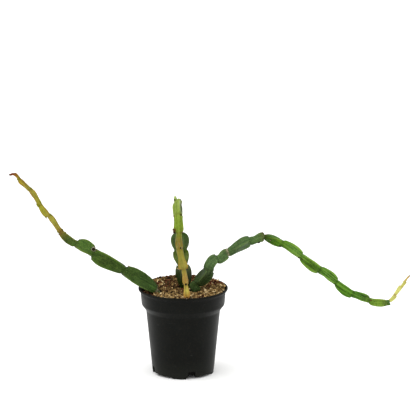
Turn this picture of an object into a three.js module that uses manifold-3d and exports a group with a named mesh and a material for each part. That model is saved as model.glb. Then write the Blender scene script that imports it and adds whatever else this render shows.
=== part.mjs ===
// A chain cactus in a round nursery pot. Millimetres, +Z up, -Y to the front.
// The origin is on the surface that the pot stands on, under the middle of the pot.
import * as THREE from "three";
import { mergeVertices } from "three/addons/utils/BufferGeometryUtils.js";
import Module from "manifold-3d";

const wasm = await Module();
wasm.setup();

// Room left between pieces that touch
const GAP = 0.3;

// Pot heights, from the surface that it stands on
const SKIRT_Z = 2;
const FLOOR_UNDERSIDE_Z = 3.5;
const SHOULDER_Z = 65;
const BAND_Z = 71;
const LIP_Z = 82.5;
const RIM_Z = 88;

// Pot radii, outside
const BASE_RADIUS = 30.9;
const NECK_RADIUS = 37.3;
const BAND_RADIUS = 41.8;
const BAND_TOP_RADIUS = 42.7;
const RIM_RADIUS = 45;
const WALL = 1.2;
const POT_SIDES = 48;

// What the pot stands on: four feet on a cross of low ribs, with a drain slot beside each foot
const FOOT_ANGLES = [-7.6, 82.4, 172.4, 262.4];
const FOOT_SPREAD = 26;
const FOOT_INNER_RADIUS = 24;
const FOOT_OUTER_RADIUS = 30.6;
const RIB_WIDTH = 4;
const SLOT_ANGLE = 24;
const SLOT_WIDTH = 7.5;
const SLOT_TOP_Z = 7.8;
const SLOT_DEPTH = 8;

// Soil: bark compost filled to just under the rim, heaped to the rim at the back and the right
// and sunk a little at the left, with coarse chips on top
const SOIL_EDGE_Z = 84.6;
const SOIL_CROWN = 1.6;
const SOIL_BACK_RISE = 2.4;
const SOIL_RIGHT_RISE = 2.2;
const SOIL_LEFT_DROP = 1.8;
const SOIL_SIDES = 36;
const CHIP_COUNT = 72;
const CHIP_REACH = 35;
const CHIP_LENGTH = [4, 7.5];
const CHIP_WIDTH = [2.2, 3.6];
const CHIP_THICKNESS = 1.4;
const CHIP_SEED = 20;

// Stems: a chain of three-winged links, each turned a sixth of a turn from the one before
const WING_DIRECTIONS = 6;
const RING_POINTS = 2 * WING_DIRECTIONS;
const LINK_STATIONS = [0, 0.12, 0.34, 0.62, 0.84, 0.96];
const FLANK = 0.45;
const EDGE_SHARPNESS = 0.6;
const OLD_PEAK = 0.6;
const YOUNG_PEAK = 0.74;

// The side of a stem that its wings are turned from: the side facing the front and a little up,
// or the right-hand side
const FACING = new THREE.Vector3(0, -0.9636, 0.2672);
const RIGHT = new THREE.Vector3(1, 0, 0);

const degrees = THREE.MathUtils.degToRad;
const { lerp, smoothstep } = THREE.MathUtils;

// A joint between two links: where it is, the stem's radius there, the turn of the wings and,
// where the stem kinks, the way it heads
const joint = (x, y, z, waist, roll, heading) => ({
  at: new THREE.Vector3(x, y, z),
  waist,
  roll,
  heading: heading && new THREE.Vector3(...heading),
});

// A link's wings: how far their edges stand from the middle, and where along the link they peak
const old = (reach, peak = OLD_PEAK) => ({ reach, peak });
const young = (reach, peak = YOUNG_PEAK) => ({ reach, peak });

// The stem that leans out to the left, from its foot in the soil to its tip
const LEFT = {
  datum: FACING,
  joints: [
    joint(-21, -7, 74, 3.6, 30),
    joint(-27.7, -8, 86, 4.4, 30),
    joint(-59.4, -10, 108, 4.8, 30, [-29, -2, 26]),
    joint(-89.6, -12, 126.8, 5.4, 30),
    joint(-107, -13, 136.6, 3.9, 30),
    joint(-122.2, -13, 149.2, 2.6, 30),
    joint(-133.8, -12, 164.6, 2.3, 24),
    joint(-142.1, -11, 175.9, 2.2, 30),
    joint(-152.5, -9, 190.8, 2.1, 38),
    joint(-162.9, -7, 201.4, 1.8, 30),
    joint(-168.6, -6, 206, 1.2, 30),
    joint(-173, -6, 205.5, 0.7, 30),
  ],
  links: [
    old(4.4), old(9.9), old(9.6), old(8.7, 0.46), old(5.6, 0.42),
    young(3.9), young(4.4, 0.48), young(3.6), young(3.4), young(2.2), young(1.2),
  ],
};

// The stem in the middle, whose new growth arches over and hangs down in front of the rim
const CENTRE = {
  datum: RIGHT,
  joints: [
    joint(1.6, 5, 73, 3.6, -30),
    joint(1.8, 6, 86, 5, -30),
    joint(-0.6, 6, 109, 5.4, -30),
    joint(-2.5, 6, 125.5, 8.2, -30),
    joint(-3.9, 5, 143, 3.2, -30),
    joint(-4.8, 2.5, 161, 3, -30),
    joint(-5.5, -11, 178.9, 3.2, -30, [-0.5, -15, 2]),
    joint(-5.2, -27, 168.6, 4.8, -30),
    joint(-4.1, -33.5, 152.6, 3.1, -32),
    joint(-3.2, -38, 137.4, 3.7, -30),
    joint(0.9, -43, 117.6, 2.5, -30),
    joint(2.9, -46.5, 103, 2.2, -30),
    joint(4.4, -49, 89.9, 1.6, -30),
  ],
  links: [
    old(4.6), old(9.6), old(9.4, 0.72), old(10.7, 0.46),
    young(4.8), young(4.4, 0.84), young(5.9, 0.5), young(5.9), young(4.2), young(5.7, 0.85),
    young(3.4), young(3.8),
  ],
};

// The stem that arches over to the right, in an old branch and a younger one
const ARCH = {
  datum: FACING,
  joints: [
    joint(9.5, -7, 73, 3.6, 0),
    joint(11.7, -7, 86, 4.6, 0),
    joint(13.8, -6, 93.4, 4.8, 0, [6, 1, 6]),
    joint(25.4, -2, 106, 6.2, -10, [5, 3, 14]),
    joint(34.3, 1, 116.2, 5, -34, [12, 2, 2.5]),
    joint(45.1, 2, 123.4, 4.7, -50, [14, 1, 2.5]),
    joint(67.1, 4, 134.6, 4.8, -56, [17, 1, 2]),
    joint(81.6, 5, 138.4, 2.8, -62, [15, 0, -1.5]),
    joint(99.6, 4, 132.1, 4, -82),
    joint(118.6, 2, 119.2, 3.6, -86),
    joint(137.4, -1, 106.1, 4.3, -88),
    joint(153.7, -4, 93.8, 3.5, -88),
    joint(170.5, -7, 82.6, 3.9, -90),
    joint(186.7, -9, 76.5, 3, -90),
    joint(206.2, -11, 75, 2.1, -90),
  ],
  links: [
    old(4.6), old(6.6), old(8.3, 0.6), old(7, 0.66), old(6.4, 0.66), old(7.3, 0.74),
    old(5.7, 0.8), old(5.8), old(6.1), old(7), old(6.3), old(6.5), old(5.4), old(5.3, 0.5),
  ],
};

// The short new shoot that rises from the younger branch's end
const SPRIG = {
  datum: FACING,
  joints: [
    joint(207.4, -11, 76.6, 1.9, -90, [2.8, 0, 2.4]),
    joint(210.6, -11.3, 80.2, 2, -90),
    joint(214.4, -11.5, 84.6, 1.7, -90),
    joint(221, -12, 93.8, 1.2, -90),
    joint(227, -12.5, 103, 0.5, -90),
  ],
  links: [young(2.4), young(2.5), young(1.8), young(1.2)],
};

// A smooth way through the joints. Between its neighbours a joint heads from the one before
// to the one after, unless it has a heading of its own.
class StemPath extends THREE.Curve {
  constructor(joints) {
    super();
    this.joints = joints;
    this.links = joints.length - 1;
  }

  headingAt(i) {
    const { heading } = this.joints[i];
    if (heading) return heading;
    const [before, after] = [Math.max(i - 1, 0), Math.min(i + 1, this.links)];
    return this.joints[after].at.clone().sub(this.joints[before].at).divideScalar(after - before);
  }

  getPoint(place) {
    const link = Math.min(Math.floor(place * this.links), this.links - 1);
    const t = place * this.links - link;
    const ease = t * t * (3 - 2 * t);
    return new THREE.Vector3()
      .lerpVectors(this.joints[link].at, this.joints[link + 1].at, ease)
      .addScaledVector(this.headingAt(link), t * (1 - t) ** 2)
      .addScaledVector(this.headingAt(link + 1), -t * t * (1 - t));
  }
}

function merged(geometry) {
  const bare = geometry.clone();
  bare.deleteAttribute("normal");
  bare.deleteAttribute("uv");
  return mergeVertices(bare);
}

// A closed solid for cutting and joining, without the slivers that a lathe leaves at its axis
function solidOf(geometry) {
  const shape = merged(geometry);
  const corners = shape.index.array;
  const kept = [];
  for (let i = 0; i < corners.length; i += 3) {
    const [a, b, c] = corners.slice(i, i + 3);
    if (a !== b && b !== c && c !== a) kept.push(a, b, c);
  }
  return new wasm.Manifold(
    new wasm.Mesh({
      numProp: 3,
      vertProperties: new Float32Array(shape.attributes.position.array),
      triVerts: new Uint32Array(kept),
    }),
  );
}

function geometryOf(solid) {
  const mesh = solid.getMesh();
  const geometry = new THREE.BufferGeometry();
  geometry.setAttribute("position", new THREE.BufferAttribute(mesh.vertProperties, 3));
  geometry.setIndex(new THREE.BufferAttribute(mesh.triVerts, 1));
  return geometry;
}

function piece(name, geometry, color, roughness) {
  const material = new THREE.MeshStandardMaterial({ color, roughness, metalness: 0 });
  const mesh = new THREE.Mesh(geometry, material);
  mesh.name = name;
  return mesh;
}

// The same numbers on every run, from 0 to 1
function seededDraws(seed) {
  let state = seed;
  return () => {
    state = (state * 1664525 + 1013904223) % 4294967296;
    return state / 4294967296;
  };
}

// A profile of radius and height turned about the upright axis
function turned(profile, sides) {
  const points = profile.map(([radius, z]) => new THREE.Vector2(radius, z));
  return new THREE.LatheGeometry(points, sides).rotateX(Math.PI / 2);
}

// The pot's inside, from the floor up to the rolled lip
const INSIDE = [
  [BASE_RADIUS - WALL, FLOOR_UNDERSIDE_Z + WALL],
  [NECK_RADIUS - WALL, SHOULDER_Z + 0.5],
  [BAND_RADIUS - WALL, BAND_Z + 0.5],
  [BAND_TOP_RADIUS - WALL, LIP_Z],
  [BAND_TOP_RADIUS - 0.8, LIP_Z + 1.8],
  [BAND_TOP_RADIUS + 0.2, LIP_Z + 3.6],
  [RIM_RADIUS - 1.6, RIM_Z - 0.4],
];

function potShell() {
  const outside = [
    [BASE_RADIUS - WALL, SKIRT_Z],
    [BASE_RADIUS, SKIRT_Z],
    [NECK_RADIUS, SHOULDER_Z],
    [BAND_RADIUS, BAND_Z],
    [BAND_TOP_RADIUS, LIP_Z],
    [BAND_TOP_RADIUS + 0.8, LIP_Z + 1.7],
    [RIM_RADIUS - 0.6, LIP_Z + 3.1],
    [RIM_RADIUS, RIM_Z - 1.2],
    [RIM_RADIUS - 0.3, RIM_Z - 0.3],
    [RIM_RADIUS - 1, RIM_Z],
  ];
  const underside = [
    [0, FLOOR_UNDERSIDE_Z],
    [BASE_RADIUS - WALL, FLOOR_UNDERSIDE_Z],
  ];
  const inside = [...INSIDE].reverse();
  const floor = [0, FLOOR_UNDERSIDE_Z + WALL];
  return solidOf(turned([...underside, ...outside, ...inside, floor], POT_SIDES));
}

// Angles run from the front of the pot towards its right
const aroundPot = (angle) => degrees(angle - 90);

function foot(angle) {
  const start = aroundPot(angle - FOOT_SPREAD / 2);
  const end = aroundPot(angle + FOOT_SPREAD / 2);
  const outline = new THREE.Shape();
  outline.absarc(0, 0, FOOT_OUTER_RADIUS, start, end, false);
  outline.absarc(0, 0, FOOT_INNER_RADIUS, end, start, true);
  outline.closePath();
  const depth = FLOOR_UNDERSIDE_Z + WALL / 2;
  return solidOf(new THREE.ExtrudeGeometry(outline, { depth, bevelEnabled: false, curveSegments: 6 }));
}

function rib(angle) {
  const depth = FLOOR_UNDERSIDE_Z + WALL / 2;
  const bar = new THREE.BoxGeometry(2 * FOOT_INNER_RADIUS + 2, RIB_WIDTH, depth);
  bar.translate(0, 0, depth / 2).rotateZ(aroundPot(angle));
  return solidOf(bar);
}

function drainSlot(angle) {
  const height = SLOT_TOP_Z - SKIRT_Z + GAP;
  const cut = new THREE.BoxGeometry(SLOT_DEPTH, SLOT_WIDTH, height);
  cut.translate(BASE_RADIUS, 0, SLOT_TOP_Z - height / 2).rotateZ(aroundPot(angle));
  return solidOf(cut);
}

function potGeometry() {
  let pot = potShell();
  for (const angle of FOOT_ANGLES) pot = pot.add(foot(angle));
  for (const angle of FOOT_ANGLES.slice(0, 2)) pot = pot.add(rib(angle));
  for (const angle of FOOT_ANGLES) pot = pot.subtract(drainSlot(angle + SLOT_ANGLE));
  return geometryOf(pot);
}

// How far a wing stands out along its link, from 0 at the waists to 1 at its widest
function swell(along, peak) {
  const skew = Math.log(0.5) / Math.log(peak);
  return Math.sin(Math.PI * along ** skew) ** EDGE_SHARPNESS;
}

// The point of a stem at a place along one link, a step round its ring and that far out
function stemPoint(stem, curve, link, along, step, share, grow) {
  const place = (link + along) / stem.links.length;
  const tangent = curve.getTangent(place);
  const u = stem.datum.clone().addScaledVector(tangent, -stem.datum.dot(tangent)).normalize();
  const v = new THREE.Vector3().crossVectors(tangent, u);
  const [from, to] = [stem.joints[link], stem.joints[link + 1]];
  const waist = lerp(from.waist, to.waist, along);
  const { reach, peak } = stem.links[link];
  const out = swell(along, peak);
  const roll = degrees(lerp(from.roll, to.roll, along));
  const corner = (k) => {
    const edge = k % 2 === link % 2 ? reach : FLANK * reach;
    const radius = lerp(waist, edge, out) + grow;
    const angle = roll + (k * 2 * Math.PI) / WING_DIRECTIONS;
    return new THREE.Vector2(radius * Math.cos(angle), radius * Math.sin(angle));
  };
  const k = Math.floor(step / 2);
  const flat = step % 2 ? corner(k).add(corner((k + 1) % WING_DIRECTIONS)).multiplyScalar(0.5) : corner(k);
  flat.multiplyScalar(share);
  return curve.getPoint(place).addScaledVector(u, flat.x).addScaledVector(v, flat.y);
}

// The links from one joint to another as a closed skin: a tube bent along the stem, its rings
// pulled out into wings. Both ends stop half a gap short of a joint that another piece meets.
function stemGeometry(stem, first, last, grow = 0) {
  const curve = new StemPath(stem.joints);
  const rings = (last - first) * LINK_STATIONS.length;
  const skin = merged(new THREE.CylinderGeometry(1, 1, 1, RING_POINTS, rings));
  const position = skin.attributes.position;
  const vertex = new THREE.Vector3();
  for (let i = 0; i < position.count; i += 1) {
    vertex.fromBufferAttribute(position, i);
    const ring = Math.round((vertex.y + 0.5) * rings);
    const turn = Math.atan2(vertex.x, vertex.z) / (2 * Math.PI);
    const step = (Math.round(turn * RING_POINTS) + RING_POINTS) % RING_POINTS;
    const share = Math.round(Math.hypot(vertex.x, vertex.z));
    const link = Math.min(first + Math.floor(ring / LINK_STATIONS.length), last - 1);
    const along = ring === rings ? 1 : LINK_STATIONS[ring % LINK_STATIONS.length];
    const point = stemPoint(stem, curve, link, along, step, share, grow);
    const tangent = curve.getTangent((link + along) / stem.links.length);
    if (ring === 0 && first > 0) point.addScaledVector(tangent, GAP / 2);
    if (ring === rings && last < stem.links.length) point.addScaledVector(tangent, -GAP / 2);
    position.setXYZ(i, point.x, point.y, point.z);
  }
  return skin;
}

const stemPiece = (name, stem, first, last, color) =>
  piece(name, stemGeometry(stem, first, last), color, 0.55);

// Height of the soil's top at a place: crowned, uneven, and heaped towards the back and right
function soilTop(x, y) {
  const crown = SOIL_CROWN * (1 - Math.hypot(x, y) / RIM_RADIUS);
  const behind = SOIL_BACK_RISE * smoothstep(y, 6, 36);
  const right = SOIL_RIGHT_RISE * smoothstep(x, 18, 38) * (1 - 0.5 * smoothstep(y, 6, 36));
  const left = SOIL_LEFT_DROP * smoothstep(-x, 24, 36);
  const swells = 0.5 * Math.sin(0.31 * x + 0.4) * Math.cos(0.27 * y - 0.6);
  const lumps = 0.45 * Math.sin(0.83 * x - 0.49 * y) + 0.35 * Math.cos(0.41 * x + 0.92 * y);
  return SOIL_EDGE_Z + crown + behind + right - left + swells + lumps;
}

function soilBed() {
  const side = INSIDE.slice(0, 4).map(([radius, z]) => [radius - GAP, z + GAP]);
  const topRings = [40, 34, 28, 22, 16, 10, 5, 0].map((radius) => [radius, SOIL_EDGE_Z]);
  const bed = turned([[0, side[0][1]], ...side, ...topRings], SOIL_SIDES);
  const position = bed.attributes.position;
  for (let i = 0; i < position.count; i += 1) {
    const [x, y, z] = [position.getX(i), position.getY(i), position.getZ(i)];
    if (z > SOIL_EDGE_Z - GAP) position.setZ(i, soilTop(x, y));
  }
  return solidOf(bed);
}

function barkChips() {
  const draw = seededDraws(CHIP_SEED);
  const between = ([low, high]) => lerp(low, high, draw());
  return Array.from({ length: CHIP_COUNT }, () => {
    const chip = new THREE.BoxGeometry(between(CHIP_LENGTH), between(CHIP_WIDTH), CHIP_THICKNESS);
    chip.rotateX(degrees(between([-35, 35])));
    chip.rotateY(degrees(between([-28, 28])));
    chip.rotateZ(degrees(between([0, 180])));
    const radius = CHIP_REACH * Math.sqrt(draw());
    const angle = 2 * Math.PI * draw();
    const [x, y] = [radius * Math.cos(angle), radius * Math.sin(angle)];
    return solidOf(chip.translate(x, y, soilTop(x, y) + between([0, 0.8])));
  });
}

// The bed with its chips, and a close hole round the foot of each stem
function soilGeometry() {
  let soil = wasm.Manifold.union([soilBed(), ...barkChips()]);
  for (const stem of [LEFT, CENTRE, ARCH]) {
    soil = soil.subtract(solidOf(stemGeometry(stem, 0, 3, GAP)));
  }
  const bodies = soil.decompose().sort((a, b) => b.volume() - a.volume());
  return geometryOf(bodies[0]);
}

const plant = new THREE.Group();
plant.add(
  piece("pot", potGeometry(), 0x26282a, 0.5),
  piece("soil", soilGeometry(), 0x6b4c30, 0.95),
  stemPiece("left_stem", LEFT, 0, 5, 0x3f6b2a),
  stemPiece("left_shoot", LEFT, 5, 11, 0x9a9a3c),
  stemPiece("centre_stem", CENTRE, 0, 4, 0x33531f),
  stemPiece("centre_shoot", CENTRE, 4, 12, 0x9aa04a),
  stemPiece("right_stem", ARCH, 0, 7, 0x3f6639),
  stemPiece("right_branch", ARCH, 7, 14, 0x4b8427),
  stemPiece("right_shoot", SPRIG, 0, 4, 0xd3cf5c),
);
export default plant;
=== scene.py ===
# %% [markdown]
# # A chain cactus in a nursery pot
# The plant grows as chains of three-winged links. Each link is turned a sixth of a turn from
# the one before, so a wing always follows a groove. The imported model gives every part's place,
# and this lesson dresses it: finer stems, a smooth pot, loose bark, and the finish of each.

# %% The frame
import math
import random

import bmesh
import bpy
from mathutils import Matrix, Vector, noise
from mathutils.bvhtree import BVHTree


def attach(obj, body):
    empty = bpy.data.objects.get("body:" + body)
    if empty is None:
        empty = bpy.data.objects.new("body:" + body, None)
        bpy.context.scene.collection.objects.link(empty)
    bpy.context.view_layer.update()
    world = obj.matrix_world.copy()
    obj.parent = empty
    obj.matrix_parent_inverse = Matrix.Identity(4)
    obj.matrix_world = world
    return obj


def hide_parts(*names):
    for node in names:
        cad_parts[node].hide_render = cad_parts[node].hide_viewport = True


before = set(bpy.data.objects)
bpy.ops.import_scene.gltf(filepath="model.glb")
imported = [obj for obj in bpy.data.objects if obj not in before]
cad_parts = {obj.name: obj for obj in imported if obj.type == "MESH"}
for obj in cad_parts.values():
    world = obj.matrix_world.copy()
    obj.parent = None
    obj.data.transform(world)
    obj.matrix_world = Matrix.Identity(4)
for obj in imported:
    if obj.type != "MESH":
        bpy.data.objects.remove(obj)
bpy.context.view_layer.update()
MM = 0.001
BODY = "root"
print("nodes:", sorted(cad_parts))

# %% [markdown]
# ## The camera
# A long lens far away keeps the pot's sides nearly parallel, as in a catalogue picture. The
# camera looks a little down on the plant, so the compost shows inside the rim.

# %% The camera
AIM = Vector((25, 0, 169.8)) * MM
CAMERA_DISTANCE = 4.5
CAMERA_PITCH = math.radians(14.24)
LENS_MM = 389.4
SENSOR_MM = 36

sight = Vector((0, math.cos(CAMERA_PITCH), -math.sin(CAMERA_PITCH)))
lens = bpy.data.cameras.new("studio_camera")
lens.lens = LENS_MM
lens.sensor_width = SENSOR_MM
lens.clip_end = 60
camera = bpy.data.objects.new("studio_camera", lens)
camera.location = AIM - sight * CAMERA_DISTANCE
camera.rotation_euler = sight.to_track_quat("-Z", "Y").to_euler()
bpy.context.scene.collection.objects.link(camera)
bpy.context.scene.camera = camera
print("camera at", [round(x, 3) for x in camera.location])


# %% [markdown]
# ## The studio
# A pale floor under a white sky gives the soft, almost shadowless light of a catalogue
# picture. A wide sun from above, as through a white sheet, shapes the wings. One lamp could do
# the whole job, but two more at the sides draw the long grey reflections down the dark pot.

# %% Helpers for colours and objects
def linear(red, green, blue):
    """A colour as the eye reads it, from 0 to 255, as the light values that a shader takes."""
    def channel(value):
        share = value / 255
        return share / 12.92 if share <= 0.04045 else ((share + 0.055) / 1.055) ** 2.4
    return (channel(red), channel(green), channel(blue), 1)


def in_metres(shape):
    """Brings a shape drawn in millimetres to the scene's metres."""
    bmesh.ops.scale(shape, vec=(MM, MM, MM), verts=shape.verts)


def object_from(shape, name, *materials):
    """Turns a bmesh into an object in the scene, smooth shaded, and frees the bmesh."""
    mesh = bpy.data.meshes.new(name)
    shape.to_mesh(mesh)
    shape.free()
    for material in materials:
        mesh.materials.append(material)
    mesh.shade_smooth()
    made = bpy.data.objects.new(name, mesh)
    bpy.context.scene.collection.objects.link(made)
    return made


def seat(piece, slot, *nodes):
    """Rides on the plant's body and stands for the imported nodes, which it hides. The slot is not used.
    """
    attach(piece, BODY)
    if nodes:
        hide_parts(*nodes)
    print(piece.name, len(piece.data.polygons), "faces")
    return piece


# %% The floor, the sky and the lamps
FLOOR_SIZE = 40
floor_shape = bmesh.new()
bmesh.ops.create_grid(floor_shape, x_segments=1, y_segments=1, size=FLOOR_SIZE / 2)
floor_paint = bpy.data.materials.new("studio_floor")
floor_paint.use_nodes = True
floor_finish = floor_paint.node_tree.nodes["Principled BSDF"].inputs
floor_finish["Base Color"].default_value = linear(247, 247, 246)
floor_finish["Roughness"].default_value = 0.7
floor_finish["Specular IOR Level"].default_value = 0.1
floor = object_from(floor_shape, "studio_floor", floor_paint)

sky = bpy.data.worlds.new("studio_sky")
sky.use_nodes = True
sky_light = sky.node_tree.nodes["Background"].inputs
sky_light["Color"].default_value = (1, 1, 1, 1)
sky_light["Strength"].default_value = 0.85
bpy.context.scene.world = sky
bpy.context.scene.view_settings.view_transform = "Standard"


def hang(lamp, place, way):
    """Puts a lamp in the scene at a place, pointing a way."""
    holder = bpy.data.objects.new(lamp.name, lamp)
    holder.location = place
    holder.rotation_euler = way.to_track_quat("-Z", "Y").to_euler()
    bpy.context.scene.collection.objects.link(holder)


# A very wide, soft sun stands for the big white sheet that such a picture is lit through
softbox = bpy.data.lights.new("softbox", "SUN")
softbox.energy = 2.2
softbox.angle = math.radians(85)
hang(softbox, (0, 0, 0), Vector((0.2, 0.26, -1)))

# Each lamp: name, place in metres, width, height and power in watts
LAMPS = [
    ("left_side", (-1.1, 0.1, 0.45), 0.4, 1.2, 2.5),
    ("right_side", (1.2, 0.15, 0.45), 0.4, 1.2, 3.4),
]
for name, place, width, height, power in LAMPS:
    lamp = bpy.data.lights.new(name, "AREA")
    lamp.shape = "RECTANGLE"
    lamp.size = width
    lamp.size_y = height
    lamp.energy = power
    hang(lamp, place, AIM * 0.6 - Vector(place))
print(len(LAMPS), "lamps")

# %% [markdown]
# ## The stems' plan
# A stem is a row of joints, and between two joints lies one link. A joint says where the stem
# is, how thick it is there, how the wings are turned and, at a kink, which way it heads. A
# link says how far its wings reach and where along it they are widest. These are the sizes
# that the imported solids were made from, in millimetres, with the young ends a little fuller.


# %% The stems' plan
FACING = Vector((0, -0.9636, 0.2672))
RIGHT = Vector((1, 0, 0))
OLD_PEAK = 0.6
YOUNG_PEAK = 0.74


def joint(x, y, z, waist, roll, heading=None):
    return {"at": Vector((x, y, z)), "waist": waist, "roll": roll,
            "heading": heading and Vector(heading)}


def old(reach, peak=OLD_PEAK):
    return {"reach": reach, "peak": peak}


def young(reach, peak=YOUNG_PEAK):
    return {"reach": reach, "peak": peak}


LEFT = {
    "datum": FACING,
    "joints": [
        joint(-21, -7, 74, 3.6, 30),
        joint(-27.7, -8, 86, 4.4, 30),
        joint(-59.4, -10, 108, 4.8, 30, (-29, -2, 26)),
        joint(-89.6, -12, 126.8, 5.4, 30),
        joint(-107, -13, 136.6, 3.9, 30),
        joint(-122.2, -13, 149.2, 2.6, 30),
        joint(-133.8, -12, 164.6, 2.3, 24),
        joint(-142.3, -11, 175.8, 2.4, 30),
        joint(-152.6, -9, 190.6, 2.3, 38),
        joint(-162.9, -7, 201.4, 1.9, 30),
        joint(-168.6, -6, 206, 1.4, 30),
        joint(-173, -6, 205.5, 0.9, 30),
    ],
    "links": [
        old(4.4), old(9.9), old(9.6), old(8.7, 0.46), old(5.3, 0.42),
        young(3.9), young(4.3, 0.38), young(3.7), young(3.4), young(2.3), young(1.4),
    ],
}

CENTRE = {
    "datum": RIGHT,
    "joints": [
        joint(1.6, 5, 73, 3.6, -30),
        joint(1.8, 6, 86, 5, -30),
        joint(-0.6, 6, 109, 5.4, -30),
        joint(-2.5, 6, 125.5, 8.2, -30),
        joint(-3.9, 5, 143, 3.2, -30),
        joint(-4.8, 2.5, 161, 3, -30),
        joint(-4.8, -11, 178.9, 3.2, -44, (-0.5, -15, 2)),
        joint(-4.6, -27, 168.6, 5, -38),
        joint(-4.1, -33.5, 152.6, 3.1, -32),
        joint(-3.2, -38, 137.4, 3.7, -30),
        joint(0.9, -43, 117.6, 2.5, -30),
        joint(2.9, -46.5, 103, 2.2, -30),
        joint(4.4, -49, 89.9, 1.6, -30),
    ],
    "links": [
        old(4.6), old(9.6), old(9.4, 0.72), old(10.7, 0.46),
        young(4.8), young(4.4, 0.84), young(5.9, 0.5), young(5.9), young(4.2),
        young(5.7, 0.85), young(3.4), young(3.8),
    ],
}

ARCH = {
    "datum": FACING,
    "joints": [
        joint(9.5, -7, 73, 3.6, 0),
        joint(11.7, -7, 86, 4.6, 0),
        joint(13.8, -6, 93.4, 4.8, 0, (6, 1, 6)),
        joint(25.4, -2, 106, 6.2, -10, (5, 3, 14)),
        joint(34.3, 1, 116.2, 5, -34, (12, 2, 2.5)),
        joint(45.1, 2, 123.4, 4.7, -50, (14, 1, 2.5)),
        joint(67.1, 4, 134.6, 4.8, -56, (17, 1, 2)),
        joint(81.6, 5, 138.4, 2.8, -62, (15, 0, -1.5)),
        joint(99.6, 4, 132.1, 4, -82),
        joint(118.6, 2, 119.2, 3.6, -86),
        joint(137.4, -1, 106.1, 4.3, -88),
        joint(153.7, -4, 93.8, 3.5, -88),
        joint(170.5, -7, 82.6, 3.9, -90),
        joint(186.7, -9, 76.5, 3, -90),
        joint(206.2, -11, 75, 2.1, -90),
    ],
    "links": [
        old(4.6), old(6.6), old(8.3, 0.6), old(7, 0.66), old(6.4, 0.66), old(7.3, 0.74), old(5.7, 0.8),
        old(5.8), old(6.1), old(7), old(6.3), old(6.5), old(5.4), old(5.3, 0.5),
    ],
}

SPRIG = {
    "datum": FACING,
    "joints": [
        joint(207.4, -11, 76.6, 1.9, 90, (2.8, 0, 2.4)),
        joint(212.7, -11.5, 83.2, 1.9, 90),
        joint(219.1, -11.9, 91.6, 1.7, 90),
        joint(222.5, -12.2, 97.6, 1.3, 90),
        joint(227.2, -12.5, 103.2, 0.8, 90),
    ],
    "links": [young(3), young(2.9), young(2.5), young(1.3)],
}

print(sum(len(stem["links"]) for stem in (LEFT, CENTRE, ARCH, SPRIG)), "links in the plan")


# %% [markdown]
# ## The line of a stem
# Between two joints the middle of the stem follows a curve that leaves one joint and meets
# the next along their headings. This is the curve that Blender's own bezier handles draw, in
# a form where the joints themselves are on the line.

# %% The line of a stem
def heading_at(stem, index):
    spots = stem["joints"]
    if spots[index]["heading"]:
        return spots[index]["heading"]
    before = max(index - 1, 0)
    after = min(index + 1, len(spots) - 1)
    return (spots[after]["at"] - spots[before]["at"]) / (after - before)


def middle(stem, link, along):
    start, end = stem["joints"][link]["at"], stem["joints"][link + 1]["at"]
    ease = along * along * (3 - 2 * along)
    return (
        start.lerp(end, ease)
        + heading_at(stem, link) * along * (1 - along) ** 2
        - heading_at(stem, link + 1) * along * along * (1 - along)
    )


def direction(stem, link, along):
    """Which way the stem runs at a place along a link."""
    step = 0.001
    low, high = max(along - step, 0), min(along + step, 1)
    return (middle(stem, link, high) - middle(stem, link, low)).normalized()


print("the arch's line at its top:", [round(x, 1) for x in middle(ARCH, 6, 0.8)])

# %% [markdown]
# ## The section of a link
# A cut across a link is a three-cornered star with blunt corners. The ring of points starts
# as that star's outline. More points lie near each corner, where the outline turns, and each
# wing's edge is rounded off to about a millimetre across, so it catches a thin line of light.

# %% The section of a link
WING_DIRECTIONS = 6
FLANK = 0.45
EDGE_SHARPNESS = 0.6
EDGE_RADIUS = 0.42
EDGE_BAND = 0.9
BLUNTEST = 0.04
ROUNDING = 0.7
BETWEEN_CORNERS = [0, 0.035, 0.1, 0.25, 0.5, 0.75, 0.9, 0.965]
RING_POINTS = WING_DIRECTIONS * len(BETWEEN_CORNERS)


def swell(along, peak):
    """How far a wing stands out along its link, from 0 at the waists to 1 at its widest."""
    skew = math.log(0.5) / math.log(peak)
    return max(math.sin(math.pi * along ** skew), 0) ** EDGE_SHARPNESS


def corner_radii(stem, link, along):
    spots = stem["joints"]
    waist = spots[link]["waist"] * (1 - along) + spots[link + 1]["waist"] * along
    shape = stem["links"][link]
    out = swell(along, shape["peak"])
    radii = []
    for k in range(WING_DIRECTIONS):
        edge = shape["reach"] if k % 2 == link % 2 else FLANK * shape["reach"]
        radii.append(waist + (edge - waist) * out)
    return radii


def section(stem, link, along):
    """The ring's points in the plane across the stem, each with its nearness to a wing's edge."""
    spots = stem["joints"]
    roll = math.radians(spots[link]["roll"] * (1 - along) + spots[link + 1]["roll"] * along)
    radii = corner_radii(stem, link, along)
    out = swell(along, stem["links"][link]["peak"])
    corners = []
    for k, radius in enumerate(radii):
        angle = roll + k * 2 * math.pi / WING_DIRECTIONS
        corners.append(Vector((math.cos(angle), math.sin(angle))) * radius)
    points = []
    for k in range(WING_DIRECTIONS):
        near, far = corners[k], corners[(k + 1) % WING_DIRECTIONS]
        is_wing = k % 2 == link % 2
        wing, groove = (near, far) if is_wing else (far, near)
        side = groove - wing
        slope = math.cos(wing.angle(-side)) if side.length else 0
        cross = math.sqrt(max(1 - slope * slope, BLUNTEST))
        for share in BETWEEN_CORNERS:
            from_wing = share if is_wing else 1 - share
            lateral = from_wing * side.length * cross
            fullness = EDGE_RADIUS - (math.hypot(lateral, EDGE_RADIUS) - lateral)
            push = fullness * slope / cross * (1 - from_wing) * out
            point = near.lerp(far, share) + wing.normalized() * push
            round_radius = near.length * (1 - share) + far.length * share
            point *= 1 + (round_radius / point.length - 1) * ROUNDING * (1 - out)
            points.append((point, max(1 - lateral / EDGE_BAND, 0) * out))
    return points


print(RING_POINTS, "points in a ring")
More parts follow.
